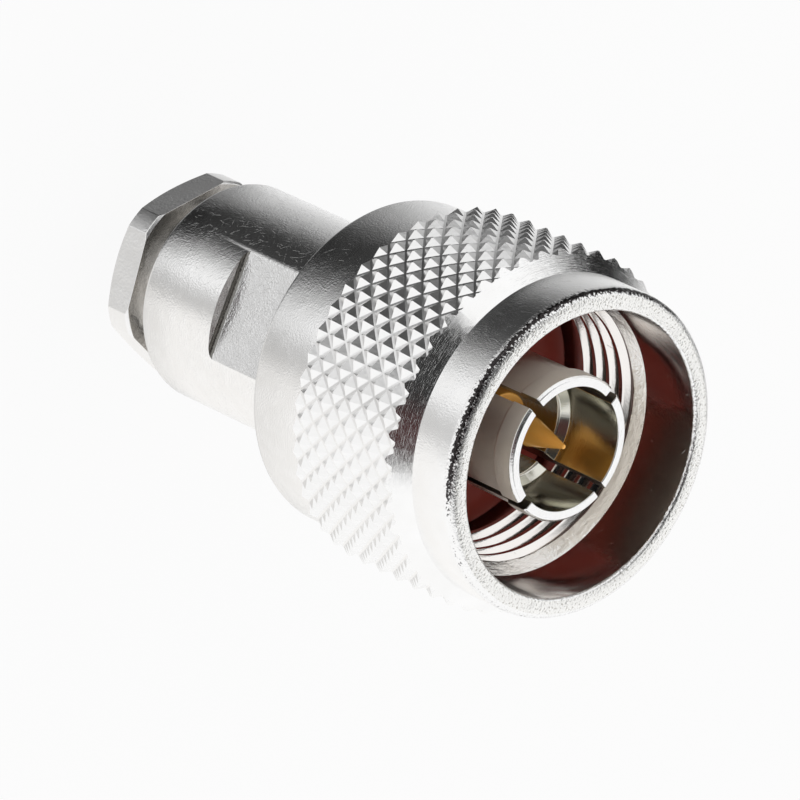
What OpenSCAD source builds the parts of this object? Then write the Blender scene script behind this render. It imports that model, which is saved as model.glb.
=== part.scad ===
// N type coaxial plug, straight, cable clamp style.
// The connector stands on the rear face of its clamp nut, with the mating end up.
// Z runs along the axis of the plug and is 0 at that rear face.
// Every length along the axis is stacked from there, in the order of assembly.

/* [Coupling nut] */
// Nominal diameter of the coupling thread, which is 5/8-24
thread_d = 15.88; // [15.4:0.01:16.4]
// Depth of that thread, from the nominal diameter in to its crests
thread_depth = 0.49; // [0.4:0.01:0.6]
// Play round the thread of the jack in the plain bore at the mouth
mouth_play = 0.13; // [0.05:0.01:0.3]
// Play round it in the relief behind the thread
relief_play = 0.21; // [0.1:0.01:0.3]
// Wall between that relief and the points of the knurl
knurl_wall = 2.2; // [2.1:0.05:2.5]
// Length of the coupling nut along the axis
coupling_len = 16.4; // [15.5:0.1:18]
// Step from the points of the knurl down to the smooth ring at the rear
rear_ring_step = 0.95; // [0.7:0.05:1.05]
// Length of that smooth ring, from the rear face to the knurl
rear_ring_len = 4.5; // [3.5:0.1:5.5]
// Step from the points of the knurl down to the reduced nose at the front
nose_step = 1.05; // [0.85:0.05:1.2]
// Length of that nose, from its inside corner to the front face
nose_len = 3.1; // [2.4:0.1:3.8]
// Step from the points of the knurl down to the edge of the front cone
cone_step = 0.15; // [0.05:0.05:0.3]
// Length of the cone between the knurl and the nose
cone_len = 0.95; // [0.6:0.05:1.2]
// Chamfer round the rear edge
coupling_chamfer = 0.25; // [0.1:0.05:0.4]
// Rounding of the front outer edge
nose_round = 0.4; // [0.2:0.05:0.6]
// Depth of the plain bore at the mouth
mouth_depth = 3.95; // [3:0.05:4.5]
// Length of the lead-in cone of the thread
thread_lead = 0.85; // [0.5:0.05:1.2]
// Length of the threaded stretch
thread_len = 4.2; // [3.2:0.1:5]
// Depth of the groove in its bore that takes the retaining ring
coupling_groove_depth = 0.7; // [0.65:0.05:1]
// Thickness of the wall behind that groove
rear_wall = 1.7; // [1.2:0.1:2.4]

/* [Knurl] */
// Depth of the knurl's grooves
knurl_depth = 0.48; // [0.3:0.02:0.6]
// Number of grooves of each hand round the band
knurl_count = 46; // [30:1:56]

/* [Body] */
// Diameter of the body
body_d = 12.7; // [12.3:0.1:13.2]
// Distance across the two wrench flats
flats_w = 11; // [10.4:0.1:11.8]
// Distance from the rear of the body to the wrench flats
flats_start = 5.9; // [4.5:0.1:6.5]
// Length of the wrench flats
flats_len = 6.7; // [5:0.1:7.2]
// Rounding where a flat meets its end walls
flats_round = 0.4; // [0.1:0.05:0.6]
// Chamfer round the rear edge of the body
body_chamfer = 0.2; // [0.1:0.05:0.4]
// Gap round the front flange, which carries the face gasket, in the coupling nut
flange_gap = 0.55; // [0.4:0.05:0.8]
// Thickness of that flange
flange_t = 1.1; // [0.9:0.05:1.4]
// Diameter of the bore that holds the insulators
insulator_bore_d = 7.2; // [6.8:0.1:7.4]

/* [Retaining ring] */
// Thickness of the ring along the axis
ring_t = 1.0; // [0.7:0.05:1.1]
// Width of the ring's section across the axis
ring_w = 1.0; // [0.9:0.05:1.05]
// Outside diameter of the ring as it sits
ring_d = 13.9; // [13.7:0.1:14]
// Opening of the ring, in degrees
ring_opening = 24; // [10:1:40]
// Distance from the underside of the ring to the front face of the body
ring_setback = 2.8; // [2.7:0.05:3.2]
// Depth of the groove in the body
body_groove_depth = 1.05; // [1.05:0.05:1.2]

/* [Outer contact] */
// Outside diameter of the contact band at the tip
contact_tip_d = 8.25; // [8.1:0.05:8.4]
// Length of that band
contact_band = 1.4; // [1:0.1:2]
// Outside diameter of the fingers behind the band
contact_tube_d = 7.9; // [7.7:0.05:7.95]
// Bore of the fingers at the tip
contact_bore_d = 7; // [6.9:0.05:7.1]
// Depth of that bore
contact_bore_depth = 3.85; // [3:0.05:5]
// Bore behind it
contact_base_bore_d = 5.9; // [5.6:0.1:6.3]
// Length of the contact in front of the body
contact_len = 10.7; // [10.3:0.1:10.9]
// Width of the saw cuts between the fingers
finger_slot_w = 0.9; // [0.5:0.05:1.1]
// Length of the saw cuts
finger_slot_len = 8.3; // [6:0.1:8.6]
// Number of fingers
finger_count = 4; // [4:1:6]
// Turn of the saw cuts round the axis, in degrees
finger_turn = 63.4; // [0:0.1:90]
// Diameter of the contact's foot, set in the front of the body
contact_foot_d = 10.4; // [9.6:0.1:11]
// Thickness of that foot
contact_foot_t = 1.0; // [0.8:0.05:1.3]

/* [Centre contact] */
// Diameter of the pin
pin_d = 1.64; // [1.5:0.02:1.7]
// Length of the pin in front of its shoulder, with its point
pin_len = 4.9; // [4.4:0.1:5.2]
// Length of the conical point
pin_point_len = 2.6; // [1.8:0.1:2.8]
// Diameter of the blunt end of the point
pin_end_d = 0.24; // [0.1:0.02:0.4]
// Diameter of the contact behind the shoulder
contact_rod_d = 3.04; // [2.8:0.02:3.2]
// Distance from the tip of the pin to the tip of the outer contact
pin_setback = 0.4; // [0.2:0.05:0.8]
// Diameter of the collar held between the insulators
collar_d = 4; // [3.6:0.1:4.6]
// Thickness of that collar
collar_t = 0.6; // [0.4:0.05:0.8]
// Length of the solder cup behind the rear insulator
cup_len = 2.1; // [1.6:0.1:2.6]
// Bore of the solder cup
cup_bore_d = 1.0; // [0.9:0.05:1.4]
// Depth of the solder cup
cup_depth = 3.2; // [2.6:0.1:4]
// Diameter of the solder hole in the side of the cup
solder_hole_d = 0.6; // [0.4:0.05:0.8]

/* [Insulators] */
// Thickness of the rear insulator
rear_insulator_t = 1.6; // [1.2:0.1:2]
// Length of the front insulator inside the body
front_insulator_len = 2.5; // [2.4:0.1:3]
// Length of the front insulator inside the outer contact
insulator_nose_len = 2.7; // [1.5:0.1:3.5]

/* [Face gasket] */
// Gap round the silicone gasket at the foot of the mouth, in the coupling nut
face_gasket_gap = 0.35; // [0.2:0.05:0.6]
// Thickness of that gasket
face_gasket_t = 1.6; // [1.2:0.1:2]

/* [Cable clamp] */
// Height of the hexagonal head of the clamp nut
head_h = 2.2; // [1.8:0.1:3]
// Distance across the flats of the head
head_w = 10.7; // [10.2:0.1:11.2]
// Diameter to which the corners of the head are turned
head_corner_d = 11.7; // [11.4:0.1:12.2]
// Diameter of the flat rear face, inside its chamfer
head_face_d = 9.9; // [9:0.1:10]
// Chamfer on the front edge of the head
head_front_chamfer = 0.15; // [0.1:0.05:0.25]
// Turn of the head from the wrench flats of the body, in degrees
head_turn = 7.6; // [0:0.1:30]
// Gap between the head and the body when the nut is finger tight
head_gap = 2; // [1.5:0.1:3]
// Diameter of the clamp nut's thread
barrel_d = 7.9; // [7.6:0.05:8]
// Length of the clamp nut in front of its head
barrel_len = 7; // [6:0.1:8]
// Diameter of the relief between the head and the thread
neck_d = 6.9; // [6.7:0.1:7.2]
// Length of that relief
neck_len = 1.3; // [0.8:0.1:1.6]
// Chamfer at the front end of the thread
barrel_chamfer = 0.25; // [0.1:0.05:0.4]
// Bore for the cable
cable_bore_d = 5.3; // [5:0.05:5.6]
// Chamfer at each end of the cable bore
cable_bore_chamfer = 0.3; // [0.1:0.05:0.4]
// Thickness of the slip washer
washer_t = 0.6; // [0.4:0.05:1]
// Length of the cable gasket
cable_gasket_len = 3.2; // [2.6:0.1:4]
// Length of the braid clamp in front of the gasket
clamp_len = 3.5; // [2.8:0.1:4.2]
// Thickness of the braid clamp's flange
clamp_flange_t = 1; // [0.6:0.1:1.4]
// Diameter of the braid clamp behind its flange
clamp_tube_d = 7.5; // [7.4:0.05:7.6]
// Bore of the braid clamp
clamp_bore_d = 3.5; // [3.4:0.1:4]
// Depth of the ridge that bites into the cable gasket
ridge_depth = 1; // [0.6:0.1:1.3]
// Width of that ridge at its root
ridge_w = 0.9; // [0.6:0.05:0.95]

/* [Fits] */
// Radial clearance of pieces that stay put in their bores
seat_gap = 0.05; // [0.03:0.01:0.06]
// Radial clearance of pieces that turn or slide
run_gap = 0.1; // [0.05:0.01:0.1]
// Clearance along the axis of what turns on the retaining ring
end_gap = 0.1; // [0.05:0.01:0.12]

/* [Hidden] */
$fn = 96;
// Room that a cutting tool takes past the face it opens
over = 0.5;
// How deep the band of the knurl is rooted in the coupling nut
root = 0.12;
// Length of the small bevel at each end of the knurl
knurl_bevel = 0.1;

// Heights of the stack, from the rear face of the clamp nut upwards
body_rear = head_h + head_gap;
barrel_top = head_h + barrel_len;
washer_top = barrel_top + washer_t;
gasket_top = washer_top + cable_gasket_len;
clamp_seat = gasket_top + clamp_len;
collar_rear = clamp_seat + rear_insulator_t;
collar_front = collar_rear + collar_t;
foot_seat = collar_front + front_insulator_len;
body_front = foot_seat + contact_foot_t;
contact_tip = body_front + contact_len;
pin_tip = contact_tip - pin_setback;
pin_shoulder = pin_tip - pin_len;
ring_rear = body_front - ring_setback;
ring_front = ring_rear + ring_t;
coupling_rear = ring_rear - end_gap - rear_wall;
coupling_front = coupling_rear + coupling_len;
nose_corner = coupling_front - nose_len;
knurl_front = nose_corner - cone_len;
knurl_rear = coupling_rear + rear_ring_len;
thread_front = coupling_front - mouth_depth - thread_lead;
thread_rear = thread_front - thread_len;
flange_rear = body_front - flange_t;

// Radii that follow from the coupling thread
thread_crest_r = thread_d / 2 - thread_depth;
mouth_r = thread_d / 2 + mouth_play;
relief_r = thread_d / 2 + relief_play;
knurl_r = relief_r + knurl_wall;
rear_ring_r = knurl_r - rear_ring_step;
nose_r = knurl_r - nose_step;
cone_r = knurl_r - cone_step;
flange_r = relief_r - flange_gap;

// Radii that follow from what runs or sits in a bore
clamp_bore_r = barrel_d / 2 + run_gap;
coupling_bore_r = body_d / 2 + run_gap;
gasket_bore_r = contact_tube_d / 2 + run_gap;
gasket_mid_r = (cable_bore_d + barrel_d) / 4;

// A round piece from its outline, given as [radius, height] pairs
module turned(outline) {
    rotate_extrude() polygon(outline);
}

// Points of an arc in an outline, from angle a to angle b about a centre
function arc(centre, r, a, b, steps = 6) =
    [for (i = [0:steps]) centre + r * [cos(a + (b - a) * i / steps), sin(a + (b - a) * i / steps)]];

// A plain ring between two heights
module ring(inner_r, outer_r, z0, z1) {
    turned([[inner_r, z0], [outer_r, z0], [outer_r, z1], [inner_r, z1]]);
}

// The knurl is a net of square pyramids. Its points and its groove crossings
// alternate round each row and from row to row, and the grooves run at 45 degrees.
columns = 2 * knurl_count;
knurl_len = knurl_front - knurl_rear;
row_step = 2 * PI * knurl_r / columns;
rows = max(2, floor((knurl_len - knurl_bevel) / row_step));

function net_r(column, row) =
    (column + row) % 2 == 0 ? knurl_r - knurl_depth
    : row == rows ? cone_r - seat_gap
    : knurl_r;

function knurl_point(column, r, z) =
    [r * cos(360 * column / columns), r * sin(360 * column / columns), z];

function row_z(row) =
    knurl_rear + knurl_bevel + (knurl_len - 2 * knurl_bevel) * row / rows;

// Two triangles for each cell, cut along the groove that crosses it
function cell(column, row) =
    let (
        next = (column + 1) % columns,
        a = row * columns + column,
        b = row * columns + next,
        c = (row + 1) * columns + next,
        d = (row + 1) * columns + column
    )
    (column + row) % 2 == 1 ? [[a, c, b], [a, d, c]] : [[a, d, b], [b, d, c]];

module knurl_band() {
    root_r = rear_ring_r - root;
    foot = [for (c = [0:columns - 1]) knurl_point(c, root_r, knurl_rear)];
    net = [for (r = [0:rows]) for (c = [0:columns - 1])
        knurl_point(c, net_r(c, r), row_z(r))];
    head = [for (c = [0:columns - 1]) knurl_point(c, root_r, knurl_front + knurl_bevel)];
    outside = [for (r = [0:rows + 1]) for (c = [0:columns - 1]) each cell(c, r)];
    last = (rows + 2) * columns;
    inside = [for (c = [0:columns - 1]) let (n = (c + 1) % columns)
        each [[c, n, last + n], [c, last + n, last + c]]];
    polyhedron(concat(foot, net, head), concat(outside, inside), convexity = 4);
}

module coupling_nut() {
    color("silver") {
        rounding = min(nose_round, (nose_r - mouth_r) / 2);
        outside = concat(
            [[rear_ring_r - coupling_chamfer, coupling_rear],
            [rear_ring_r, coupling_rear + coupling_chamfer],
            [rear_ring_r, knurl_front],
            [cone_r, knurl_front],
            [nose_r, nose_corner]],
            arc([nose_r - rounding, coupling_front - rounding], rounding, 0, 90));
        inside = [
            [mouth_r, coupling_front],
            [mouth_r, coupling_front - mouth_depth],
            [thread_crest_r, thread_front],
            [thread_crest_r, thread_rear],
            [relief_r, thread_rear],
            [relief_r, flange_rear - end_gap],
            [coupling_bore_r, flange_rear - end_gap],
            [coupling_bore_r, ring_front + end_gap],
            [coupling_bore_r + coupling_groove_depth, ring_front + end_gap],
            [coupling_bore_r + coupling_groove_depth, ring_rear - end_gap],
            [coupling_bore_r, ring_rear - end_gap],
            [coupling_bore_r, coupling_rear]];
        union() {
            turned(concat(outside, inside));
            knurl_band();
        }
    }
}

module retaining_ring() {
    color("silver") rotate([0, 0, ring_opening / 2]) rotate_extrude(angle = 360 - ring_opening)
        translate([ring_d / 2 - ring_w, ring_rear]) square([ring_w, ring_t]);
}

module face_gasket() {
    color("firebrick")
        ring(gasket_bore_r, relief_r - face_gasket_gap, body_front, body_front + face_gasket_t);
}

// Outline of one wrench flat along the axis, with rounded inside corners
module flat_cut() {
    z0 = body_rear + flats_start;
    z1 = z0 + flats_len;
    y = flats_w / 2;
    outer = body_d / 2 + over;
    translate([-body_d / 2, 0, 0]) rotate([90, 0, 90]) linear_extrude(body_d) polygon(concat(
        [[outer, z0]],
        arc([y + flats_round, z0 + flats_round], flats_round, 270, 180),
        arc([y + flats_round, z1 - flats_round], flats_round, 180, 90),
        [[outer, z1]]));
}

module body_shell() {
    groove_r = body_d / 2 - body_groove_depth;
    color("silver") difference() {
        turned([
            [clamp_bore_r + body_chamfer, body_rear],
            [body_d / 2 - body_chamfer, body_rear],
            [body_d / 2, body_rear + body_chamfer],
            [body_d / 2, ring_rear],
            [groove_r, ring_rear],
            [groove_r, ring_front + end_gap],
            [body_d / 2, ring_front + end_gap],
            [body_d / 2, flange_rear],
            [flange_r, flange_rear],
            [flange_r, body_front],
            [contact_foot_d / 2 + seat_gap, body_front],
            [contact_foot_d / 2 + seat_gap, foot_seat],
            [insulator_bore_d / 2, foot_seat],
            [insulator_bore_d / 2, clamp_seat],
            [clamp_bore_r, clamp_seat],
            [clamp_bore_r, body_rear + body_chamfer]]);
        flat_cut();
        mirror([0, 1, 0]) flat_cut();
    }
}

module outer_contact() {
    edge = 0.15;
    bore_step = (contact_bore_d - contact_base_bore_d) / 2;
    bore_end = contact_tip - contact_bore_depth;
    color("gainsboro") difference() {
        turned([
            [contact_foot_d / 2, foot_seat],
            [contact_foot_d / 2, body_front],
            [contact_tube_d / 2, body_front],
            [contact_tube_d / 2, contact_tip - contact_band - edge],
            [contact_tip_d / 2, contact_tip - contact_band],
            [contact_tip_d / 2, contact_tip - edge],
            [contact_tip_d / 2 - edge, contact_tip],
            [contact_bore_d / 2, contact_tip],
            [contact_bore_d / 2, bore_end],
            [contact_base_bore_d / 2, bore_end - bore_step],
            [contact_base_bore_d / 2, foot_seat]]);
        for (i = [0:finger_count - 1])
            rotate([0, 0, finger_turn + 360 * i / finger_count])
                translate([0, -finger_slot_w / 2, contact_tip - finger_slot_len])
                    cube([contact_tip_d, finger_slot_w, finger_slot_len + over]);
    }
}

module front_insulator() {
    color("white") turned([
        [contact_rod_d / 2 + seat_gap, collar_front],
        [insulator_bore_d / 2 - seat_gap, collar_front],
        [insulator_bore_d / 2 - seat_gap, foot_seat],
        [contact_base_bore_d / 2 - seat_gap, foot_seat],
        [contact_base_bore_d / 2 - seat_gap, foot_seat + insulator_nose_len],
        [contact_rod_d / 2 + seat_gap, foot_seat + insulator_nose_len]]);
}

module rear_insulator() {
    color("white")
        ring(contact_rod_d / 2 + seat_gap, insulator_bore_d / 2 - seat_gap, clamp_seat, collar_rear);
}

module centre_contact() {
    cup_rear = clamp_seat - cup_len;
    color("goldenrod") difference() {
        turned([
            [0, cup_rear + cup_depth],
            [cup_bore_d / 2, cup_rear + cup_depth],
            [cup_bore_d / 2, cup_rear],
            [contact_rod_d / 2, cup_rear],
            [contact_rod_d / 2, collar_rear],
            [collar_d / 2, collar_rear],
            [collar_d / 2, collar_front],
            [contact_rod_d / 2, collar_front],
            [contact_rod_d / 2, pin_shoulder],
            [pin_d / 2, pin_shoulder],
            [pin_d / 2, pin_tip - pin_point_len],
            [pin_end_d / 2, pin_tip],
            [0, pin_tip]]);
        translate([0, 0, cup_rear + cup_len / 2]) rotate([0, 90, 0])
            cylinder(d = solder_hole_d, h = contact_rod_d);
    }
}

// The tapered ridge on the braid clamp, or with a clearance the groove it sits in
function ridge(gap) = [
    [gasket_mid_r - ridge_w / 2 - gap, gasket_top],
    [gasket_mid_r, gasket_top - ridge_depth - gap],
    [gasket_mid_r + ridge_w / 2 + gap, gasket_top]];

module braid_clamp() {
    color("gainsboro") turned(concat(
        [[clamp_bore_d / 2, clamp_seat], [clamp_bore_d / 2, gasket_top]],
        ridge(0),
        [[clamp_tube_d / 2, gasket_top],
        [clamp_tube_d / 2, clamp_seat - clamp_flange_t],
        [barrel_d / 2, clamp_seat - clamp_flange_t],
        [barrel_d / 2, clamp_seat]]));
}

module cable_gasket() {
    color("dimgray") turned(concat(
        [[barrel_d / 2, gasket_top], [barrel_d / 2, washer_top],
        [cable_bore_d / 2, washer_top], [cable_bore_d / 2, gasket_top]],
        ridge(seat_gap)));
}

module slip_washer() {
    color("silver") ring(cable_bore_d / 2, barrel_d / 2, barrel_top, washer_top);
}

module clamp_nut() {
    head_chamfer_h = (head_corner_d - head_face_d) / 2 * tan(30);
    barrel_r = barrel_d / 2;
    bore_r = cable_bore_d / 2;
    neck_top = head_h + neck_len;
    color("silver") difference() {
        union() {
            intersection() {
                rotate([0, 0, head_turn]) cylinder(d = head_w / cos(30), h = head_h, $fn = 6);
                turned([
                    [0, 0],
                    [head_face_d / 2, 0],
                    [head_corner_d / 2, head_chamfer_h],
                    [head_corner_d / 2, head_h - head_front_chamfer],
                    [head_corner_d / 2 - head_front_chamfer, head_h],
                    [0, head_h]]);
            }
            turned([
                [0, head_h - over],
                [neck_d / 2, head_h - over],
                [neck_d / 2, neck_top],
                [barrel_r, neck_top + barrel_r - neck_d / 2],
                [barrel_r, barrel_top - barrel_chamfer],
                [barrel_r - barrel_chamfer, barrel_top],
                [0, barrel_top]]);
        }
        turned([
            [0, -over],
            [bore_r + cable_bore_chamfer + over, -over],
            [bore_r, cable_bore_chamfer],
            [bore_r, barrel_top - cable_bore_chamfer],
            [bore_r + cable_bore_chamfer + over, barrel_top + over],
            [0, barrel_top + over]]);
    }
}

coupling_nut();
retaining_ring();
face_gasket();
body_shell();
outer_contact();
front_insulator();
rear_insulator();
centre_contact();
braid_clamp();
cable_gasket();
slip_washer();
clamp_nut();
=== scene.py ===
import math

import bmesh
import bpy
from mathutils import Matrix, Vector


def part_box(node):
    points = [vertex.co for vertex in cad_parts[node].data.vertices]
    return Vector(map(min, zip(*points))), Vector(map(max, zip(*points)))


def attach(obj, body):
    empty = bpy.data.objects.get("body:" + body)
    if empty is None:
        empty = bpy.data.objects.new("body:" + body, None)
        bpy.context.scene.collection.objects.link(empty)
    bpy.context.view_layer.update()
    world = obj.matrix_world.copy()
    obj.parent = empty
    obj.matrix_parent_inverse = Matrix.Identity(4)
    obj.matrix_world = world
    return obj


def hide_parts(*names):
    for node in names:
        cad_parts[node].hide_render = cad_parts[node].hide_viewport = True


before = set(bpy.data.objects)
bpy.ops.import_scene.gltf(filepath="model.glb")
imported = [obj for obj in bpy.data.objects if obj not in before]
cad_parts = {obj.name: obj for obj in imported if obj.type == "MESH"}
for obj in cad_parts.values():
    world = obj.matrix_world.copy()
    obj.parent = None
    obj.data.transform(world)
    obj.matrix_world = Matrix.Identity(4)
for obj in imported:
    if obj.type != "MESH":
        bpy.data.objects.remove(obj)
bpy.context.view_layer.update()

# Sizes are in millimetres, with heights counted up the axis from the rear face.
MM = 0.001
TURN = 2 * math.pi
# Points nearer to each other than this become one point.
WELD = 0.0005


def heights(node):
    """Lowest and highest point of a solid, in millimetres."""
    low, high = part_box(node)
    return low.z / MM, high.z / MM


def outer_radius(node):
    """Largest radius of a round solid, in millimetres."""
    low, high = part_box(node)
    return (high.x - low.x) / 2 / MM


nut_rear, nut_front = heights("coupling_nut")
nut_radius = outer_radius("coupling_nut")
body_rear, body_front = heights("body_shell")
contact_foot, contact_tip = heights("outer_contact")
cup_rear, pin_tip = heights("centre_contact")
gasket_rear, gasket_front = heights("face_gasket")
barrel_front = heights("clamp_nut")[1]
ring_rear = heights("retaining_ring")[0]


# Shapes ---------------------------------------------------------------------

def piece_from(name, points, faces, finishes, sharp=30, pick=None):
    """An object from points in millimetres. pick chooses a face's finish by middle and normal."""
    mesh = bpy.data.meshes.new(name)
    mesh.from_pydata([[c * MM for c in p] for p in points], [], faces)
    shape = bmesh.new()
    shape.from_mesh(mesh)
    bmesh.ops.remove_doubles(shape, verts=shape.verts, dist=WELD * MM)
    bmesh.ops.dissolve_degenerate(shape, edges=shape.edges, dist=WELD * MM)
    for face in shape.faces:
        face.smooth = True
        if pick:
            face.material_index = pick(face.calc_center_median() / MM, face.normal)
    shape.to_mesh(mesh)
    shape.free()
    for finish in finishes:
        mesh.materials.append(finish)
    mesh.set_sharp_from_angle(angle=math.radians(sharp))
    made = bpy.data.objects.new(name, mesh)
    bpy.context.scene.collection.objects.link(made)
    return made


def soft_edges(made, width, angle=25):
    """Rounds a piece's sharp edges a little, as plating leaves them."""
    bevel = made.modifiers.new("soft_edges", "BEVEL")
    bevel.width = width * MM
    bevel.segments = 2
    bevel.limit_method = "ANGLE"
    bevel.angle_limit = math.radians(angle)
    bevel.harden_normals = True
    bevel.use_clamp_overlap = True
    return made


def joins(made, body, node, slot):
    """The piece moves with its body and stands for its solid, which it hides. slot is not used."""
    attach(made, body)
    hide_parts(node)
    return made


def at(radius, angle, height):
    return (radius * math.cos(angle), radius * math.sin(angle), height)


def rounded(outline, radius=0.06, steps=4):
    """A closed outline of [radius, height] with rounded corners. A third number sets one corner."""
    result = []
    count = len(outline)
    for i, corner in enumerate(outline):
        here = Vector(corner[:2])
        size = corner[2] if len(corner) > 2 else radius
        back = Vector(outline[i - 1][:2]) - here
        ahead = Vector(outline[(i + 1) % count][:2]) - here
        opening = back.angle(ahead)
        if size == 0 or here.x < 0.001 or opening > math.radians(179):
            result.append(tuple(here))
            continue
        reach = min(size / math.tan(opening / 2), back.length * 0.45, ahead.length * 0.45)
        size = reach * math.tan(opening / 2)
        halfway = (back.normalized() + ahead.normalized()).normalized()
        middle = here + halfway * math.hypot(reach, size)
        start = here + back.normalized() * reach - middle
        sweep = start.angle_signed(here + ahead.normalized() * reach - middle)
        for step in range(steps + 1):
            turned = Matrix.Rotation(-sweep * step / steps, 2) @ start
            result.append(tuple(middle + turned))
    return result


def revolve(outline, columns):
    """Points and faces of a closed outline turned about the axis."""
    rows = len(outline)
    points = [at(r, TURN * c / columns, z) for c in range(columns) for r, z in outline]
    faces = []
    for c in range(columns):
        here, there = c * rows, (c + 1) % columns * rows
        for i in range(rows):
            j = (i + 1) % rows
            faces.append((here + i, there + i, there + j, here + j))
    return points, faces


def loft(columns):
    """Faces between neighbouring columns of points, closed round the axis."""
    rows = len(columns[0])
    points = [p for column in columns for p in column]
    faces = []
    for c in range(len(columns)):
        here, there = c * rows, (c + 1) % len(columns) * rows
        for i in range(rows - 1):
            faces.append((here + i, there + i, there + i + 1, here + i + 1))
    return points, faces


def screw_rows(pitch, low, high, radius_at, columns=288, steps=16):
    """A band whose rows climb one pitch a turn. radius_at gives its radius by phase and height."""
    turns = (high - low) / pitch
    count = math.ceil((turns + 1) * steps) + 1
    points = []
    for c in range(columns + 1):
        share = c / columns
        for i in range(count):
            climb = i / steps - 1 + share
            height = min(max(low + climb * pitch, low), high)
            phase = ((height - low) / pitch - share) % 1.0
            points.append(at(radius_at(phase, height), TURN * share, height))
    faces = []
    for c in range(columns):
        for i in range(count - 1):
            a = c * count + i
            b = a + count
            faces.append((a, b, b + 1, a + 1))
    return points, faces


def trapezoid(phase, crest, flank, root_depth):
    """Depth below the crest at a phase of the pitch: flat crest, flank, flat root, flank."""
    if phase < crest:
        return 0.0
    if phase < crest + flank:
        return root_depth * (phase - crest) / flank
    if phase < 1 - flank:
        return root_depth
    return root_depth * (1 - phase) / flank


# Coupling nut ---------------------------------------------------------------

nose_corner = nut_front - 3.1
knurl_front = nose_corner - 0.95
knurl_rear = nut_rear + 4.5
nose_radius = nut_radius - 1.05
ring_radius = nut_radius - 0.95
cone_radius = nut_radius - 0.15
mouth_radius = 8.07
mouth_floor = nut_front - 3.95
rim_round = 0.65
thread_crest = 7.45
thread_root = 7.94
thread_front = mouth_floor - 0.85
thread_rear = thread_front - 4.2
thread_pitch = 25.4 / 24
relief_radius = 8.15
rear_bore = 6.45
rear_bore_front = 21.0
snap_groove = 7.15
snap_groove_rear = 19.3
snap_groove_front = 20.5
knurl_count = 46
knurl_depth = 0.30
# Widths of a groove's floor and of a pyramid's blunt top, as shares of the knurl's step.
groove_floor = 0.12
knurl_crest = 0.09
# The band's rear edge starts this far above the ring and rises this steeply.
knurl_edge = 0.35
knurl_edge_slope = 6


def cone_at(height):
    """Radius of the cone in front of the knurl."""
    share = (height - knurl_front) / (nose_corner - knurl_front)
    return cone_radius + (nose_radius - cone_radius) * share


def clipped(corners, values):
    """Splits a polygon where its values change sign. Returns the part below and the part above."""
    below, above = [], []
    for i, here in enumerate(corners):
        there = corners[(i + 1) % len(corners)]
        first, last = values[i], values[(i + 1) % len(corners)]
        (above if first > 0 else below).append(here)
        if (first > 0) != (last > 0):
            cut = here.lerp(there, first / (first - last))
            below.append(cut)
            above.append(cut)
    return below, above


def knurl_surface(finishes):
    """Two families of grooves cross and leave blunt pyramids. Bevel and cone trim the ends."""
    half_turn = TURN / (2 * knurl_count)
    step = half_turn * nut_radius
    foot = groove_floor / 2
    top = (1 - knurl_crest) / 2
    points, faces = [], []

    def spot(across, along, depth):
        height = knurl_rear + (across - along) * step
        return Vector(at(nut_radius - depth, (across + along) * half_turn, height))

    def trim_at(height):
        rear_edge = ring_radius + knurl_edge + (height - knurl_rear) * knurl_edge_slope
        return min(cone_at(height), rear_edge)

    def keep(corners, trimmed):
        if len(corners) < 3 or max(c.z for c in corners) < knurl_rear - 0.01:
            return
        faces.append(tuple(range(len(points), len(points) + len(corners))))
        for corner in corners:
            if trimmed:
                height = max(knurl_rear, min(corner.z, nose_corner))
                corner = Vector(at(trim_at(height), math.atan2(corner.y, corner.x), height))
            points.append(tuple(corner))

    for row in range(-1, math.ceil((nose_corner - knurl_rear) / step) + 2):
        for column in range(row % 2, 2 * knurl_count, 2):
            u, v = (column + row) / 2, (column - row) / 2
            low = [(foot, foot), (1 - foot, foot), (1 - foot, 1 - foot), (foot, 1 - foot)]
            high = [(top, top), (1 - top, top), (1 - top, 1 - top), (top, 1 - top)]
            base = [spot(u + a, v + b, knurl_depth) for a, b in low]
            cap = [spot(u + a, v + b, 0.0) for a, b in high]
            shapes = [cap]
            for i in range(4):
                j = (i + 1) % 4
                shapes.append([base[i], base[j], cap[j], cap[i]])
            for left, right, near, far in (
                    (1 - foot, 1 + foot, foot, 1 - foot), (foot, 1 - foot, 1 - foot, 1 + foot),
                    (1 - foot, 1 + foot, 1 - foot, 1 + foot)):
                shapes.append([spot(u + a, v + b, knurl_depth) for a, b in (
                    (left, near), (right, near), (right, far), (left, far))])
            for shape in shapes:
                shape.reverse()
                kept_part, cut_part = clipped(
                    shape, [math.hypot(c.x, c.y) - trim_at(c.z) for c in shape])
                keep(kept_part, False)
                keep(cut_part, True)
    made = piece_from("knurled_band", points, faces, finishes, sharp=24)
    for face in made.data.polygons:
        middle = face.center / MM
        on_cone = math.hypot(middle.x, middle.y) > cone_at(middle.z) - 0.03
        face.material_index = 1 if on_cone else 0
    return soft_edges(made, 0.07, 24)


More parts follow.
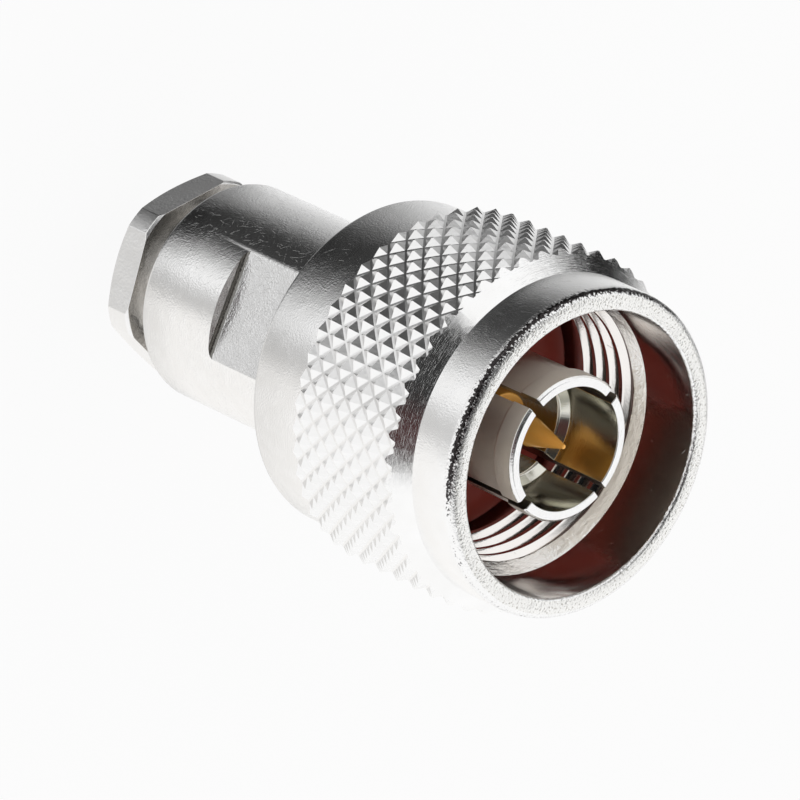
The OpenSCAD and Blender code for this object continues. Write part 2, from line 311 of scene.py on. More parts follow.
def nut_shell(finishes):
    """The turned surfaces of the coupling nut: rear ring, nose, rim, counterbore and rear bore."""
    # Under the knurled band and behind the thread, the shell lies a little deeper than they do.
    under_band = nose_radius - 0.1
    behind_thread = relief_radius + 0.05
    outline = rounded([
        [rear_bore, nut_rear], [ring_radius, nut_rear, 0.3], [ring_radius, knurl_rear + 0.1, 0],
        [under_band, knurl_rear + 0.1, 0], [under_band, nose_corner - 0.1, 0],
        [nose_radius, nose_corner, 0], [nose_radius, nut_front, rim_round],
        [mouth_radius, nut_front, 0.2], [mouth_radius, mouth_floor, 0],
        [behind_thread, mouth_floor, 0], [behind_thread, thread_rear, 0],
        [relief_radius, thread_rear, 0], [relief_radius, rear_bore_front],
        [rear_bore, rear_bore_front], [rear_bore, snap_groove_front],
        [snap_groove, snap_groove_front], [snap_groove, snap_groove_rear],
        [rear_bore, snap_groove_rear]])
    points, faces = revolve(outline, 384)

    def pick(middle, normal):
        radius = math.hypot(middle.x, middle.y)
        if middle.z > nut_front - rim_round - 0.1 and radius > mouth_radius:
            return 3 if normal.z > 0.97 else 1
        return 2 if radius < mouth_radius + 0.1 else 0

    return piece_from("nut_shell", points, faces, finishes, sharp=40, pick=pick)


def nut_thread(finishes):
    """The right-hand coupling thread inside the nut, with its lead-in cone."""
    depth = thread_root - thread_crest
    lead_slope = (mouth_radius - thread_crest) / (mouth_floor - thread_front)

    def radius_at(phase, height):
        thread = thread_crest + trapezoid(phase, 0.26, 0.30, depth)
        lead_in = thread_crest + (height - thread_front) * lead_slope
        return max(thread, lead_in)

    points, faces = screw_rows(thread_pitch, thread_rear, mouth_floor, radius_at, steps=24)
    faces = [tuple(reversed(face)) for face in faces]

    def pick(middle, normal):
        if middle.z > thread_front + 0.05 and normal.z > 0.3:
            return 1
        # Faces deep in the thread's grooves take the painted-shade finish.
        return 2 if math.hypot(middle.x, middle.y) > thread_crest + 0.75 * depth else 0

    return piece_from("coupling_thread", points, faces, finishes, sharp=25, pick=pick)


# Body, contacts and gasket --------------------------------------------------

body_radius = 6.35
flat_offset = 5.5
flat_rear = body_rear + 5.9
flat_front = flat_rear + 6.7
flat_round = 0.3
clamp_bore = 4.05
flange_radius = 7.6
flange_rear = body_front - 1.1
contact_seat = 5.2
contact_radius = 3.95
contact_band = 4.125
contact_bore = 3.5
inner_bore = 2.95
slot_width = 0.6
slot_foot = 24.6
slot_angle = 63.4
pin_radius = 1.52
tip_radius = 0.82
collar_radius = 2.0
collar_rear = 18.1
collar_front = 18.7
cup_radius = 0.5
cup_floor = cup_rear + 3.2
gasket_bore = 4.06
gasket_radius = 7.8


def body_surface(finishes):
    """The round body with its two wrench flats, whose ends are square walls with rounded feet."""
    edge = math.acos(flat_offset / body_radius)
    steps, foot_steps = 64, 8
    angles = []
    for middle in (TURN / 4, 3 * TURN / 4):
        angles += [middle - edge + 2 * edge * i / steps for i in range(steps + 1)]
        round_span = TURN / 2 - 2 * edge
        angles += [middle + edge + round_span * i / steps for i in range(1, steps)]
    columns = []
    for angle in angles:
        across = body_radius * abs(math.sin(angle))
        cut = across > flat_offset + 1e-6
        reach = min(across, flat_offset + flat_round)
        sweep = math.acos(max(-1.0, min(1.0, (flat_offset + flat_round - reach) / flat_round)))
        rear_walk, front_walk = [], []
        for i in range(foot_steps + 1):
            turned = sweep * (1 - i / foot_steps)
            y = flat_offset + flat_round * (1 - math.cos(turned))
            inset = flat_round * (1 - math.sin(turned))
            radius = y / abs(math.sin(angle)) if cut else body_radius
            rear_walk.append((radius, flat_rear + inset))
            front_walk.append((radius, flat_front - inset))
        wall_rear = (body_radius, rear_walk[0][1])
        wall_front = (body_radius, front_walk[0][1])
        outline = [(clamp_bore, body_rear + 1.2), (clamp_bore, body_rear + 0.2),
                   (clamp_bore + 0.2, body_rear),
                   (body_radius - 0.22, body_rear), (body_radius - 0.07, body_rear + 0.04),
                   (body_radius - 0.03, body_rear + 0.12), (body_radius, body_rear + 0.25),
                   (body_radius, (body_rear + flat_rear) / 2), wall_rear, *rear_walk,
                   *reversed(front_walk), wall_front, (body_radius, ring_rear),
                   (body_radius, flange_rear), (flange_radius, flange_rear),
                   (flange_radius, body_front), (contact_seat + 0.05, body_front)]
        columns.append([at(r, angle, z) for r, z in outline])
    points, faces = loft(columns)

    def pick(middle, normal):
        if not flat_rear < middle.z < flat_front or abs(middle.y) < flat_offset - 0.01:
            return 0
        if math.hypot(middle.x, middle.y) > body_radius - 0.001:
            return 0
        # The walls at the flats' ends take the painted-shade finish.
        return 2 if abs(normal.z) > 0.2 else 1

    return piece_from("body", points, faces, finishes, sharp=32, pick=pick)


def contact_fingers(finishes):
    """Four spring fingers, parted by saw cuts with flat, parallel walls."""
    outline = [
        (contact_radius, slot_foot), (contact_radius, 28.0), (contact_radius, contact_tip - 1.55),
        (contact_band, contact_tip - 1.4), (contact_band, contact_tip - 0.15),
        (contact_band - 0.15, contact_tip), (contact_bore, contact_tip),
        (contact_bore, contact_tip - 3.85), (inner_bore + 0.13, contact_tip - 4.27),
        (inner_bore, contact_tip - 4.3), (inner_bore, slot_foot)]
    points, faces = [], []
    rows, steps = len(outline), 48
    for finger in range(4):
        first = math.radians(slot_angle + 90 * finger)
        base = len(points)
        for c in range(steps + 1):
            for r, z in outline:
                half_cut = math.asin(slot_width / 2 / r)
                angle = first + half_cut + (TURN / 4 - 2 * half_cut) * c / steps
                points.append(at(r, angle, z))
        for c in range(steps):
            here = base + c * rows
            for i in range(rows):
                j = (i + 1) % rows
                faces.append((here + i, here + rows + i, here + rows + j, here + j))
        last = base + steps * rows
        faces.append(tuple(base + i for i in range(rows)))
        faces.append(tuple(last + i for i in reversed(range(rows))))

    def pick(middle, normal):
        radius = math.hypot(middle.x, middle.y)
        facing = (middle.x * normal.x + middle.y * normal.y) / radius
        if normal.z > 0.5 and middle.z > contact_tip - 0.2:
            return 3
        # The slot walls take the painted-shade finish.
        if abs(normal.z) < 0.2 and abs(facing) < 0.5:
            return 2
        return 1 if facing < -0.5 else 0

    made = piece_from("contact_fingers", points, faces, finishes, sharp=25, pick=pick)
    return soft_edges(made, 0.06)


def contact_root(finish):
    """The unslotted ring at the foot of the fingers."""
    top = slot_foot + 0.02
    outline = [[inner_bore, contact_foot], [contact_seat, contact_foot],
               [contact_seat, body_front], [contact_radius, body_front],
               [contact_radius, top], [inner_bore, top]]
    points, faces = revolve(rounded(outline, 0.03), 192)
    return piece_from("contact_root", points, faces, [finish])


def centre_pin(finish):
    """The gold centre contact, with its long cone and small blunt end."""
    shoulder = pin_tip - 4.9
    cone_foot = pin_tip - 2.6
    outline = [
        [0, cup_floor, 0], [cup_radius, cup_floor], [cup_radius, cup_rear],
        [pin_radius, cup_rear], [pin_radius, collar_rear], [collar_radius, collar_rear],
        [collar_radius, collar_front], [pin_radius, collar_front], [pin_radius, shoulder, 0.12],
        [tip_radius, shoulder, 0.03], [tip_radius, cone_foot, 0.2], [0.12, pin_tip, 0.05],
        [0, pin_tip, 0]]
    points, faces = revolve(rounded(outline, 0.05), 128)
    return piece_from("centre_pin", points, faces, [finish])


def gasket_ring(finish):
    """The silicone washer, its front corners rounder than its rear ones."""
    outline = [[gasket_bore, gasket_rear, 0.1], [gasket_radius, gasket_rear, 0.1],
               [gasket_radius, gasket_front, 0.25], [gasket_bore, gasket_front, 0.25]]
    points, faces = revolve(rounded(outline, steps=5), 256)
    return piece_from("red_gasket", points, faces, [finish])


# Clamp nut ------------------------------------------------------------------

head_height = 2.2
head_apothem = 5.35
head_corner = 5.85
head_face = 4.95
front_edge = 0.15
head_turn = math.radians(7.6)
barrel_radius = 3.95
barrel_rear = head_height + 1.3
barrel_relief = 3.45
barrel_pitch = 0.75
barrel_depth = 0.4
cable_bore = 2.65
bore_edge = 0.3


def clamp_head(finishes):
    """The hexagonal head, its corners turned round and its rear edge chamfered at 30 degrees."""
    flat_half = math.acos(head_apothem / head_corner)
    flat_steps, corner_steps = 24, 6
    angles = []
    for side in range(6):
        middle = head_turn + TURN * (side + 0.5) / 6
        angles += [middle - flat_half + 2 * flat_half * i / flat_steps
                   for i in range(flat_steps + 1)]
        corner_span = TURN / 6 - 2 * flat_half
        angles += [middle + flat_half + corner_span * i / corner_steps
                   for i in range(1, corner_steps)]
    columns = []
    for angle in angles:
        off = (angle - head_turn) % (TURN / 6) - TURN / 12
        radius = min(head_apothem / math.cos(off), head_corner)
        rear = (radius - head_face) * math.tan(math.radians(30))
        front = head_height - max(0.0, radius - head_corner + front_edge)
        outline = [(cable_bore, bore_edge), (cable_bore + bore_edge, 0), (head_face, 0),
                   (radius, rear), (radius, front),
                   (min(radius, head_corner - front_edge), head_height),
                   (barrel_relief, head_height)]
        columns.append([at(r, angle, z) for r, z in outline])
    points, faces = loft(columns)

    def pick(middle, normal):
        return 1 if normal.z > 0.9 else 0

    made = piece_from("clamp_head", points, faces, finishes, sharp=22, pick=pick)
    return soft_edges(made, 0.05, 20)


def clamp_barrel(finish):
    """The barrel in front of the head, with a relief and a fine right-hand thread."""
    rear, front = barrel_rear, barrel_front
    edge_radius = barrel_radius - bore_edge
    columns = 144

    def radius_at(phase, height):
        thread = barrel_radius - trapezoid(phase, 0.125, 0.3, barrel_depth)
        run_in = barrel_relief + (height - rear) * 1.2
        chamfer = edge_radius + (front - height)
        return min(thread, run_in, chamfer)

    points, faces = screw_rows(barrel_pitch, rear, front, radius_at, columns, steps=12)
    base = len(points)
    relief = [(barrel_relief, head_height), (barrel_relief, rear)]
    bore = [(edge_radius, front), (cable_bore + bore_edge, front),
            (cable_bore, front - bore_edge), (cable_bore, bore_edge)]
    for stretch in (relief, bore):
        for c in range(columns + 1):
            points += [at(r, TURN * c / columns, z) for r, z in stretch]
        rows = len(stretch)
        for c in range(columns):
            for i in range(rows - 1):
                a = base + c * rows + i
                faces.append((a, a + rows, a + rows + 1, a + 1))
        base = len(points)
    return piece_from("clamp_barrel", points, faces, [finish], sharp=25)


# Finishes -------------------------------------------------------------------

def add(tree, kind, inputs=None, **settings):
    """Adds a node, sets what it needs and links what is already a socket."""
    made = tree.nodes.new(kind)
    for name, value in settings.items():
        setattr(made, name, value)
    for name, value in (inputs or {}).items():
        if isinstance(value, bpy.types.NodeSocket):
            tree.links.new(value, made.inputs[name])
        else:
            made.inputs[name].default_value = value
    return made


def calc(tree, operation, *values):
    """One step of arithmetic. Returns its socket."""
    made = tree.nodes.new("ShaderNodeMath")
    made.operation = operation
    for i, value in enumerate(values):
        if isinstance(value, bpy.types.NodeSocket):
            tree.links.new(value, made.inputs[i])
        else:
            made.inputs[i].default_value = value
    return made.outputs[0]


def remap(tree, value, low, high, to_low=0.0, to_high=1.0):
    """Maps a value smoothly from one range to another, held at its ends."""
    made = add(tree, "ShaderNodeMapRange", {
        "Value": value, "From Min": low, "From Max": high, "To Min": to_low, "To Max": to_high})
    made.interpolation_type = "SMOOTHSTEP"
    return made.outputs["Result"]


def blend(tree, factor, first, second):
    """Mixes two colours, each a socket or three numbers. Returns the socket."""
    made = tree.nodes.new("ShaderNodeMix")
    made.data_type = "RGBA"
    tree.links.new(factor, made.inputs["Factor"])
    for place, color in ((6, first), (7, second)):
        if isinstance(color, bpy.types.NodeSocket):
            tree.links.new(color, made.inputs[place])
        else:
            made.inputs[place].default_value = (*color, 1.0)
    return made.outputs[2]


def group(name, inputs, outputs):
    """A shader node group with its sockets, and its own input and output nodes."""
    tree = bpy.data.node_groups.new(name, "ShaderNodeTree")
    for label, value in inputs:
        socket = tree.interface.new_socket(label, in_out="INPUT", socket_type="NodeSocketFloat")
        socket.default_value = value
    for label in outputs:
        tree.interface.new_socket(label, in_out="OUTPUT", socket_type="NodeSocketFloat")
    return tree, tree.nodes.new("NodeGroupInput").outputs, tree.nodes.new("NodeGroupOutput").inputs


def make_turned_lines():
    """Fine broken lines round the axis, as a lathe or a brush leaves them."""
    tree, given, out = group("turned_lines", [("Fineness", 9000.0), ("Length", 6.0)], ["Height"])
    here = add(tree, "ShaderNodeTexCoord").outputs["Object"]
    part = add(tree, "ShaderNodeSeparateXYZ", {"Vector": here}).outputs
    radius = calc(tree, "SQRT", calc(tree, "ADD", calc(tree, "MULTIPLY", part["X"], part["X"]),
                                     calc(tree, "MULTIPLY", part["Y"], part["Y"])))
    angle = calc(tree, "ARCTAN2", part["Y"], part["X"])
    across = calc(tree, "MULTIPLY", calc(tree, "SUBTRACT", part["Z"], radius), given["Fineness"])
    spot = add(tree, "ShaderNodeCombineXYZ", {
        "X": calc(tree, "MULTIPLY", calc(tree, "SINE", angle), given["Length"]),
        "Y": calc(tree, "MULTIPLY", calc(tree, "COSINE", angle), given["Length"]), "Z": across})
    noise = add(tree, "ShaderNodeTexNoise", {"Vector": spot.outputs[0], "Scale": 1.0, "Detail": 3.0,
                                            "Roughness": 0.65})
    tree.links.new(noise.outputs["Fac"], out["Height"])
    return tree


def make_speckle():
    """The fine uneven grain of a plated surface with small dents, and wider patches."""
    tree, given, out = group("speckle", [("Size", 0.15)], ["Height", "Patches"])
    here = add(tree, "ShaderNodeTexCoord").outputs["Object"]
    scale = calc(tree, "DIVIDE", 1000.0, given["Size"])
    fine = add(tree, "ShaderNodeTexNoise", {"Vector": here, "Scale": scale, "Detail": 3.0,
                                           "Roughness": 0.6})
    dents = add(tree, "ShaderNodeTexVoronoi", {
        "Vector": here, "Scale": calc(tree, "MULTIPLY", scale, 0.7)})
    wide = add(tree, "ShaderNodeTexNoise", {
        "Vector": here, "Scale": calc(tree, "MULTIPLY", scale, 0.09), "Detail": 2.0})
    depth = calc(tree, "MULTIPLY", dents.outputs["Distance"], remap(
        tree, wide.outputs["Fac"], 0.4, 0.62, 0.1, 0.9))
    tree.links.new(calc(tree, "ADD", fine.outputs["Fac"], depth), out["Height"])
    tree.links.new(wide.outputs["Fac"], out["Patches"])
    return tree


def make_scratches():
    """Thin short scratches that lie several ways."""
    tree, given, out = group("scratches", [("Amount", 0.5)], ["Height"])
    here = add(tree, "ShaderNodeTexCoord").outputs["Object"]
    total = None
    for turn in ((10, 25, 15), (-35, 60, 40), (50, -15, 80), (80, 40, -30)):
        placed = add(tree, "ShaderNodeMapping", {
            "Vector": here, "Rotation": [math.radians(t) for t in turn],
            "Scale": (1.3 * MM, 0.06 * MM, 0.6 * MM)}, vector_type="TEXTURE").outputs[0]
        noise = add(tree, "ShaderNodeTexNoise", {"Vector": placed, "Scale": 1.0, "Detail": 1.0})
        limit = calc(tree, "SUBTRACT", 0.86, calc(tree, "MULTIPLY", given["Amount"], 0.25))
        mark = remap(tree, noise.outputs["Fac"], limit, calc(tree, "ADD", limit, 0.05))
        total = mark if total is None else calc(tree, "MAXIMUM", total, mark)
    tree.links.new(total, out["Height"])
    return tree


def make_flecks_and_painted_shade():
    """A ragged band of flecks between two heights, heavier on one side of the nut by Side. Dark
    flecks crowded to one side are painted shade.
    """
    tree, given, out = group("flecks_and_painted_shade", [("Low", 0.0), ("High", 1.0), ("Side", 0.5)], ["Mask"])
    here = add(tree, "ShaderNodeTexCoord").outputs["Object"]
    part = add(tree, "ShaderNodeSeparateXYZ", {"Vector": here}).outputs
    ragged = add(tree, "ShaderNodeTexNoise", {"Vector": here, "Scale": 7000.0, "Detail": 2.0})
    shift = calc(tree, "MULTIPLY", calc(tree, "SUBTRACT", ragged.outputs["Fac"], 0.5), 0.5 * MM)
    height = calc(tree, "ADD", part["Z"], shift)
    soft = 0.05 * MM
    above = remap(tree, height, given["Low"], calc(tree, "ADD", given["Low"], soft))
    below = remap(tree, height, given["High"], calc(tree, "ADD", given["High"], soft), 1.0, 0.0)
    angle = calc(tree, "DEGREES", calc(tree, "ARCTAN2", part["Y"], part["X"]))
    # Painted shade: the flecks crowd round this azimuth of the nut, where the rounded edge lies in
    # shade.
    shaded_azimuth = -134.0
    turned = calc(tree, "WRAP", calc(tree, "SUBTRACT", angle, shaded_azimuth), 180.0, -180.0)
    side = remap(tree, calc(tree, "ABSOLUTE", turned), 52, 80, 1.0, 0.0)
    flecks = remap(tree, calc(tree, "ADD", ragged.outputs["Fac"], calc(
        tree, "MULTIPLY", side, given["Side"])), 0.57, 0.70)
    tree.links.new(calc(tree, "MULTIPLY", calc(tree, "MULTIPLY", above, below), flecks),
                   out["Mask"])
    return tree


def plated(name, color, roughness, lines=0.0, grain=0.0, grain_size=0.15, scratches=0.0,
           fineness=9000.0, length=6.0, amount=0.5, tones=(0.94, 1.04), band=None, metal=1.0,
           fleck_and_shade_color=(0.05, 0.045, 0.045), side=0.5):
    """A plated metal: turned lines, grain and scratches in its relief, and patches in its gloss.

    band gives the lowest and highest height of a zone of flecks, in millimetres. On the rim's
    rounded edge the flecks are black and crowd to one side, which is painted shade; on the rim face
    they are grey flecks."""
    finish = bpy.data.materials.new(name)
    finish.use_nodes = True
    tree = finish.node_tree
    shader = tree.nodes["Principled BSDF"]
    shader.inputs["Metallic"].default_value = metal
    speckle = add(tree, "ShaderNodeGroup", node_tree=surface_groups["speckle"])
    speckle.inputs["Size"].default_value = grain_size
    darker = [c * tones[0] for c in color]
    lighter = [min(1.0, c * tones[1]) for c in color]
    tone = blend(tree, speckle.outputs["Patches"], darker, lighter)
    # Flecks in a band of heights. On the rim's rounded edge they are painted shade.
    if band:
        dark = add(tree, "ShaderNodeGroup", node_tree=surface_groups["flecks_and_painted_shade"])
        dark.inputs["Low"].default_value = band[0] * MM
        dark.inputs["High"].default_value = band[1] * MM
        dark.inputs["Side"].default_value = side
        tone = blend(tree, dark.outputs["Mask"], tone, fleck_and_shade_color)
    tree.links.new(tone, shader.inputs["Base Color"])
    patch = 0.06
    gloss = calc(tree, "ADD", roughness - patch / 2,
                 calc(tree, "MULTIPLY", speckle.outputs["Patches"], patch))
    tree.links.new(gloss, shader.inputs["Roughness"])
    relief = calc(tree, "MULTIPLY", speckle.outputs["Height"], grain)
    if lines:
        turned = add(tree, "ShaderNodeGroup", node_tree=surface_groups["turned_lines"])
        turned.inputs["Fineness"].default_value = fineness
        turned.inputs["Length"].default_value = length
        relief = calc(tree, "ADD", relief, calc(tree, "MULTIPLY", turned.outputs["Height"], lines))
    if scratches:
        marks = add(tree, "ShaderNodeGroup", node_tree=surface_groups["scratches"])
        marks.inputs["Amount"].default_value = amount
        relief = calc(tree, "SUBTRACT", relief,
                      calc(tree, "MULTIPLY", marks.outputs["Height"], scratches))
    bump = add(tree, "ShaderNodeBump", {"Height": relief, "Distance": 0.00002, "Strength": 1.0})
    tree.links.new(bump.outputs["Normal"], shader.inputs["Normal"])
    return finish


def soft_material(name, color, dark, roughness):
    """A rubber or plastic with a faint grain and a slightly uneven tone."""
    finish = bpy.data.materials.new(name)
    finish.use_nodes = True
    tree = finish.node_tree
    shader = tree.nodes["Principled BSDF"]
    speckle = add(tree, "ShaderNodeGroup", node_tree=surface_groups["speckle"])
    tone = blend(tree, speckle.outputs["Patches"], dark, color)
    tree.links.new(tone, shader.inputs["Base Color"])
    shader.inputs["Roughness"].default_value = roughness
    bump = add(tree, "ShaderNodeBump", {
        "Height": speckle.outputs["Height"], "Distance": 0.00001, "Strength": 0.2})
    tree.links.new(bump.outputs["Normal"], shader.inputs["Normal"])
    return finish


surface_groups = {"turned_lines": make_turned_lines(), "speckle": make_speckle(),
                  "scratches": make_scratches(), "flecks_and_painted_shade": make_flecks_and_painted_shade()}
PLATE = (0.98, 0.975, 0.965)
plating = plated("white_plating", PLATE, 0.16, lines=0.1, grain=0.45, grain_size=0.09,
                 scratches=0.2, amount=0.6)
head_plating = plated("head_plating", PLATE, 0.3, grain=0.4, grain_size=0.12, scratches=0.15)
milled_plating = plated("milled_plating", (0.92, 0.92, 0.92), 0.2, grain=1.0, grain_size=0.1,
                        scratches=0.3, amount=0.8)
# Painted shade: the square walls at the ends of the wrench flats are coloured dark grey for the
# shade they lie in.
wall_painted_shade = plated("wall_painted_shade", (0.22, 0.215, 0.20), 0.25, grain=0.8, grain_size=0.1)
shaded_plating = plated("shaded_plating", (0.62, 0.60, 0.57), 0.2, grain=0.5, grain_size=0.3,
                        tones=(0.1, 1.5))
smooth_plating = plated("smooth_plating", PLATE, 0.22, lines=0.2, grain=0.4, grain_size=0.09,
                        scratches=0.12)
knurl_plating = plated("knurl_plating", PLATE, 0.29, grain=0.3)
brushed_plating = plated("brushed_plating", PLATE, 0.11, lines=0.3, grain=0.05, fineness=20000.0,
                         length=7.0)
lead_plating = plated("lead_plating", (0.97, 0.97, 0.96), 0.2, lines=1.0, grain=0.3,
                      fineness=14000.0, length=12.0)
# The rounded outer edge of the rim: plating with painted shade, black flecks crowding its shaded
# side.
edge_plating_with_painted_shade = plated("edge_plating_with_painted_shade", PLATE, 0.14, lines=0.3, grain=1.8, grain_size=0.13,
                      band=(nut_front - 0.38, nut_front - 0.15))
rim_plating = plated("rim_plating", (0.94, 0.935, 0.915), 0.2, lines=0.7, grain=1.3,
                     grain_size=0.12, fineness=14000.0, side=0.0, fleck_and_shade_color=(0.50, 0.48, 0.44),
                     band=(nut_front - 1, nut_front + 1))
inner_plating = plated("inner_plating", (0.93, 0.90, 0.87), 0.12, lines=0.2, grain=0.1,
                       scratches=0.5, amount=0.3)
# Painted shade: the root of the thread is coloured dark brown for the shade that falls deep in its
# grooves.
thread_root_painted_shade = plated("thread_root_painted_shade", (0.16, 0.12, 0.11), 0.3, grain=0.2)
silver_plating = plated("silver_plating", (0.97, 0.90, 0.80), 0.30, grain=0.2, lines=0.2)
bore_plating = plated("bore_plating", (0.76, 0.75, 0.68), 0.14, lines=0.4)
# Painted shade: the walls of the saw cuts between the fingers are coloured near black for the shade
# inside the narrow slots.
slot_wall_painted_shade = plated("slot_wall_painted_shade", (0.22, 0.20, 0.17), 0.3, grain=0.2)
bronze = plated("spring_bronze", (0.68, 0.62, 0.52), 0.3, grain=0.2)
gold = plated("gold_plating", (1.0, 0.50, 0.11), 0.22, lines=0.2, metal=0.35)
silicone = soft_material("red_silicone", (0.40, 0.07, 0.05), (0.33, 0.05, 0.035), 0.35)
ptfe = soft_material("white_ptfe", (0.86, 0.86, 0.84), (0.80, 0.80, 0.78), 0.4)
rubber = soft_material("dark_rubber", (0.05, 0.05, 0.05), (0.035, 0.035, 0.035), 0.6)


# The pieces in place --------------------------------------------------------

for made, body, node, slot in (
        (knurl_surface([knurl_plating, brushed_plating]),
         "coupling", "coupling_nut", "plated_brass"),
        (nut_shell([smooth_plating, edge_plating_with_painted_shade, inner_plating, rim_plating]),
         "coupling", "coupling_nut", "plated_brass"),
        (nut_thread([inner_plating, lead_plating, thread_root_painted_shade]),
         "coupling", "coupling_nut", "plated_brass"),
        (body_surface([plating, milled_plating, wall_painted_shade]),
         "plug", "body_shell", "plated_brass"),
        (contact_fingers([silver_plating, bore_plating, slot_wall_painted_shade, smooth_plating]),
         "plug", "outer_contact", "contact_silver"),
        (contact_root(silver_plating), "plug", "outer_contact", "contact_silver"),
        (centre_pin(gold), "plug", "centre_contact", "contact_gold"),
        (gasket_ring(silicone), "plug", "face_gasket", "red_silicone"),
        (clamp_head([head_plating, shaded_plating]), "clamp", "clamp_nut", "plated_brass"),
        (clamp_barrel(plating), "clamp", "clamp_nut", "plated_brass")):
    joins(made, body, node, slot)

# The hidden pieces keep the shapes of their solids and only take a finish.
kept = {
    "retaining_ring": bronze, "front_insulator": ptfe, "rear_insulator": ptfe,
    "braid_clamp": plating, "cable_gasket": rubber, "slip_washer": plating}
for node, finish in kept.items():
    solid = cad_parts[node]
    solid.data.materials.clear()
    solid.data.materials.append(finish)


# Floor, light and camera ----------------------------------------------------

# The clamp nut unscrews this far below the part's foot, and the floor lies just under that.
clamp_way = 4.5
floor_level = -(clamp_way + 0.1) * MM


def make_floor():
    """A pale floor that keeps the soft shadow, low enough for the clamp nut to unscrew above it."""
    mesh = bpy.data.meshes.new("floor")
    half = 3.0
    corners = [(-half, -half), (half, -half), (half, half), (-half, half)]
    mesh.from_pydata([(x, y, floor_level) for x, y in corners], [], [(0, 1, 2, 3)])
    floor = bpy.data.objects.new("floor", mesh)
    bpy.context.scene.collection.objects.link(floor)
    finish = bpy.data.materials.new("pale_floor")
    finish.use_nodes = True
    tree = finish.node_tree
    tree.nodes.clear()
    seen = add(tree, "ShaderNodeLightPath").outputs
    direct = calc(tree, "MAXIMUM", calc(tree, "MAXIMUM", seen["Is Camera Ray"],
                                        seen["Is Glossy Ray"]), seen["Is Transmission Ray"])
    matt = add(tree, "ShaderNodeBsdfDiffuse", {"Color": (0.9, 0.9, 0.9, 1)})
    white = add(tree, "ShaderNodeEmission", {"Color": (1, 1, 1, 1), "Strength": 1.0})
    mixed = add(tree, "ShaderNodeMixShader", {
        "Fac": calc(tree, "MULTIPLY", direct, 0.9), 1: matt.outputs[0], 2: white.outputs[0]})
    out = add(tree, "ShaderNodeOutputMaterial")
    tree.links.new(mixed.outputs[0], out.inputs["Surface"])
    mesh.materials.append(finish)
    floor.visible_glossy = False


def direction(azimuth, elevation):
    """A unit vector from degrees: azimuth from +X towards +Y, elevation above the horizon."""
    a, e = math.radians(azimuth), math.radians(elevation)
    return Vector((math.cos(a) * math.cos(e), math.sin(a) * math.cos(e), math.sin(e)))


# Dark cards and flags round the part, which polished metal shows as its dark bands. Each has an
# azimuth, half width, side edge, lowest and highest elevation, edge above and below, darkness.
CARDS = [
    (-157, 14, 43, -85, -10, 12, 0.93),
    (168, 10, 70, -85, -8, 8, 0.45),
    (168, 40, 60, -85, -52, 6, 0.50),
    (157, 52, 18, -8, 11, 7, 0.98),
    (-91, 42, 14, 34, 90, 7, 0.97),
    (0, 180, 1, 66, 90, 14, 0.92),
    (-75, 5, 14, -60, -20, 12, 0.40),
]
# A faint red glow and a warm tone, given in the same way but without a darkness.
ROSY = (-64, 8, 16, 34, 60, 8)
WARM = (-5, 50, 40, -85, -41, 6)


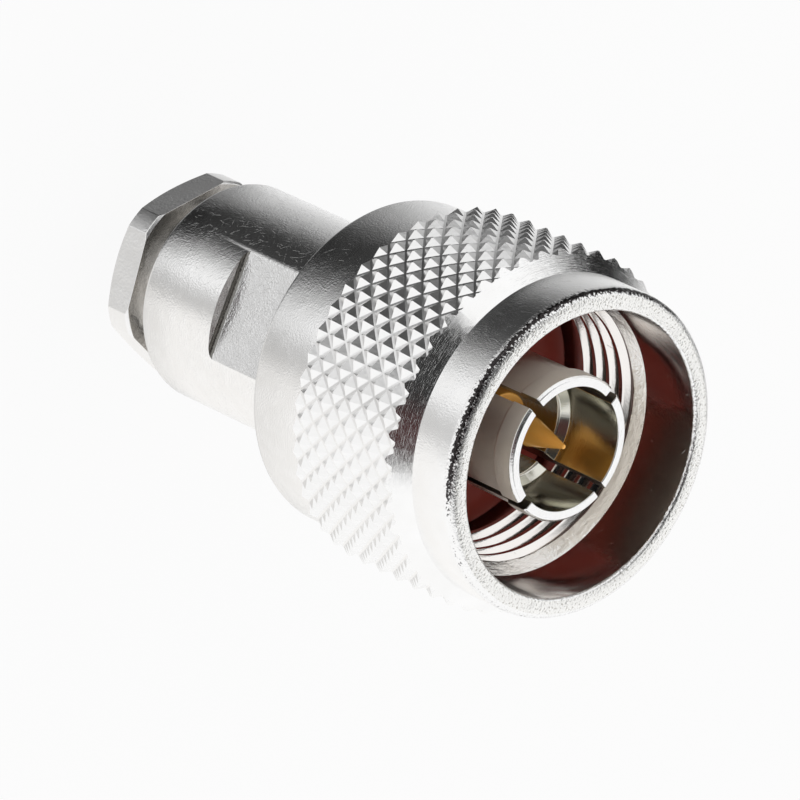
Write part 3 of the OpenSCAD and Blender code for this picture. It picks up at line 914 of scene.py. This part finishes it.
def make_world():
    """White all round for the eye, a plain soft light, and the cards in what metal reflects."""
    world = bpy.data.worlds.new("studio")
    world.use_nodes = True
    tree = world.node_tree
    tree.nodes.clear()
    toward = add(tree, "ShaderNodeTexCoord").outputs["Generated"]
    part = add(tree, "ShaderNodeSeparateXYZ", {"Vector": toward}).outputs
    elevation = calc(tree, "DEGREES", calc(tree, "ARCSINE", part["Z"]))
    azimuth = calc(tree, "DEGREES", calc(tree, "ARCTAN2", part["Y"], part["X"]))

    def cover(centre, half, side, low, high, edge):
        turned = calc(tree, "WRAP", calc(tree, "SUBTRACT", azimuth, centre), 180.0, -180.0)
        across = remap(tree, calc(tree, "ABSOLUTE", turned), half, half + side, 1.0, 0.0)
        above = remap(tree, elevation, high, high + edge, 1.0, 0.0)
        below = remap(tree, elevation, low - edge, low, 0.0, 1.0)
        return calc(tree, "MULTIPLY", across, calc(tree, "MULTIPLY", above, below))

    # The light is dimmer far below the horizon.
    glow = remap(tree, elevation, -58, -42, 0.74, 1.0)
    for *card, dark in CARDS:
        glow = calc(tree, "MULTIPLY", glow,
                    calc(tree, "SUBTRACT", 1.0, calc(tree, "MULTIPLY", cover(*card), dark)))
    rosy = cover(*ROSY)
    warm = cover(*WARM)
    tint = add(tree, "ShaderNodeCombineColor", {
        "Red": calc(tree, "MAXIMUM", glow, calc(tree, "MULTIPLY", rosy, 0.07)),
        "Green": calc(tree, "MULTIPLY", glow, calc(tree, "SUBTRACT", 1.0, calc(
            tree, "MULTIPLY", warm, 0.015))),
        "Blue": calc(tree, "MULTIPLY", glow, calc(tree, "SUBTRACT", 1.0, calc(
            tree, "MULTIPLY", warm, 0.035)))}).outputs[0]
    seen = add(tree, "ShaderNodeLightPath").outputs
    metal = add(tree, "ShaderNodeBackground", {"Color": tint, "Strength": 1.0})
    plain = add(tree, "ShaderNodeBackground", {"Color": (1, 1, 1, 1), "Strength": 0.8})
    white = add(tree, "ShaderNodeBackground", {"Color": (1, 1, 1, 1), "Strength": 1.0})
    light = add(tree, "ShaderNodeMixShader", {
        "Fac": seen["Is Glossy Ray"], 1: plain.outputs[0], 2: metal.outputs[0]})
    shown = add(tree, "ShaderNodeMixShader", {
        "Fac": calc(tree, "MAXIMUM", seen["Is Camera Ray"], seen["Is Transmission Ray"]),
        1: light.outputs[0], 2: white.outputs[0]})
    out = add(tree, "ShaderNodeOutputWorld")
    tree.links.new(shown.outputs[0], out.inputs["Surface"])
    bpy.context.scene.world = world


def make_camera():
    """A long lens that looks down on the mouth, turned so that the plug lies across the picture."""
    aim = Vector((1.44, -0.15, 19.82)) * MM
    distance = 436.4
    toward = direction(-97.01, 44.57)
    roll = math.radians(-115.12)
    forward = -toward
    upright = (Vector((0, 0, 1)) - forward * forward.z).normalized()
    aside = forward.cross(upright)
    up = upright * math.cos(roll) + aside * math.sin(roll)
    right = forward.cross(up)
    lens = bpy.data.cameras.new("camera")
    lens.lens = 360
    lens.sensor_width = 36
    lens.clip_start = 0.01
    lens.clip_end = 20
    camera = bpy.data.objects.new("camera", lens)
    turned = Matrix((right, up, toward)).transposed().to_4x4()
    camera.matrix_world = Matrix.Translation(aim + toward * distance * MM) @ turned
    bpy.context.scene.collection.objects.link(camera)
    bpy.context.scene.camera = camera


make_floor()
make_world()
make_camera()
bpy.context.scene.view_settings.view_transform = "Standard"
